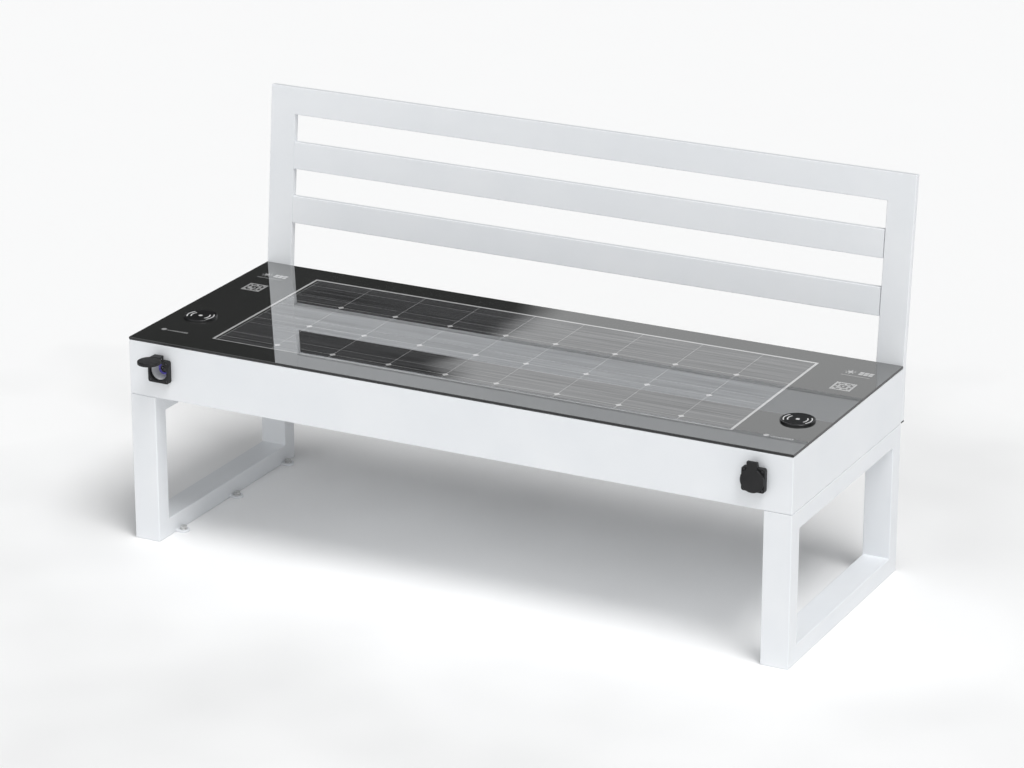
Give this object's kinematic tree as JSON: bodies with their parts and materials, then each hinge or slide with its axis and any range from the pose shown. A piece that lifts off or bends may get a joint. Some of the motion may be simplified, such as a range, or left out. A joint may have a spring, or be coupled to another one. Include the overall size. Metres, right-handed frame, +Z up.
{
  "type": "solar bench",
  "caption": "Steel park bench with a dark glass solar seat, slatted reclined backrest, wireless charging discs and lidded charging sockets.",
  "frame": {"origin": "on the floor, under the middle of the overall box, which runs from the open socket lid in front to the top of the backrest behind", "axes": "+X along the bench to the sitter's left (the right-hand end seen from the front), +Y from the front towards the backrest, +Z up"},
  "size_m": [1.5, 0.6872, 0.845],
  "materials": {
    "powder_coat": "white fine-textured powder coat",
    "dark_glass": "dark-backed tempered glass, polished",
    "solar_cells": "dark monocrystalline cell laminate",
    "black_plastic": "black moulded plastic, satin",
    "grey_plastic": "light grey moulded plastic",
    "light_ring": "blue-violet translucent plastic",
    "black_rubber": "matt black rubber",
    "zinc_plated_steel": "bright zinc plate",
    "galvanised_steel": "galvanised",
    "anodised_aluminium": "grey anodised",
    "dark_case": "dark grey moulded case"
  },
  "bodies": {
    "bench": {"anchor_bolt_left_front": "zinc_plated_steel", "anchor_bolt_left_middle": "zinc_plated_steel", "anchor_bolt_left_rear": "zinc_plated_steel", "anchor_bolt_right_front": "zinc_plated_steel", "anchor_bolt_right_middle": "zinc_plated_steel", "anchor_bolt_right_rear": "zinc_plated_steel", "battery_pack": "dark_case", "bottom_cover": "powder_coat", "charge_controller": "anodised_aluminium", "charger_left": "black_plastic", "charger_nut_left": "black_plastic", "charger_nut_right": "black_plastic", "charger_right": "black_plastic", "cross_member_left": "galvanised_steel", "cross_member_right": "galvanised_steel", "glass_gasket": "black_rubber", "glass_top": "dark_glass", "hinge_pin_left": "zinc_plated_steel", "hinge_pin_right": "zinc_plated_steel", "junction_box": "dark_case", "leg_left_foot": "powder_coat", "leg_left_front": "powder_coat", "leg_left_rear": "powder_coat", "leg_left_top": "powder_coat", "leg_right_foot": "powder_coat", "leg_right_front": "powder_coat", "leg_right_rear": "powder_coat", "leg_right_top": "powder_coat", "light_ring_left": "light_ring", "light_ring_right": "light_ring", "lug_left_front": "powder_coat", "lug_left_middle": "powder_coat", "lug_left_rear": "powder_coat", "lug_right_front": "powder_coat", "lug_right_middle": "powder_coat", "lug_right_rear": "powder_coat", "port_module_left": "black_plastic", "port_module_right": "black_plastic", "post_bolt_left_lower": "zinc_plated_steel", "post_bolt_left_upper": "zinc_plated_steel", "post_bolt_right_lower": "zinc_plated_steel", "post_bolt_right_upper": "zinc_plated_steel", "post_cap_left": "black_plastic", "post_cap_right": "black_plastic", "post_left": "powder_coat", "post_right": "powder_coat", "pv_laminate": "solar_cells", "seat_box": "powder_coat", "slat_lower": "powder_coat", "slat_upper": "powder_coat", "socket_cup_left": "grey_plastic", "socket_cup_right": "grey_plastic", "socket_gasket_left": "black_rubber", "socket_gasket_right": "black_rubber", "socket_housing_left": "black_plastic", "socket_housing_right": "black_plastic", "top_rail": "powder_coat", "wiring_loom": "black_rubber"},
    "left_lid": {"lid_left": "black_plastic"},
    "right_lid": {"lid_right": "black_plastic"}
  },
  "joints": [
    {"name": "left_lid_hinge", "type": "hinge", "parent": "bench", "child": "left_lid", "pos_m": [-0.672, -0.28859, 0.4195], "axis": [1, 0, 0], "range_deg": [-15, 90]},
    {"name": "right_lid_hinge", "type": "hinge", "parent": "bench", "child": "right_lid", "pos_m": [0.672, -0.28859, 0.4195], "axis": [1, 0, 0], "range_deg": [-105, 0]}
  ]
}
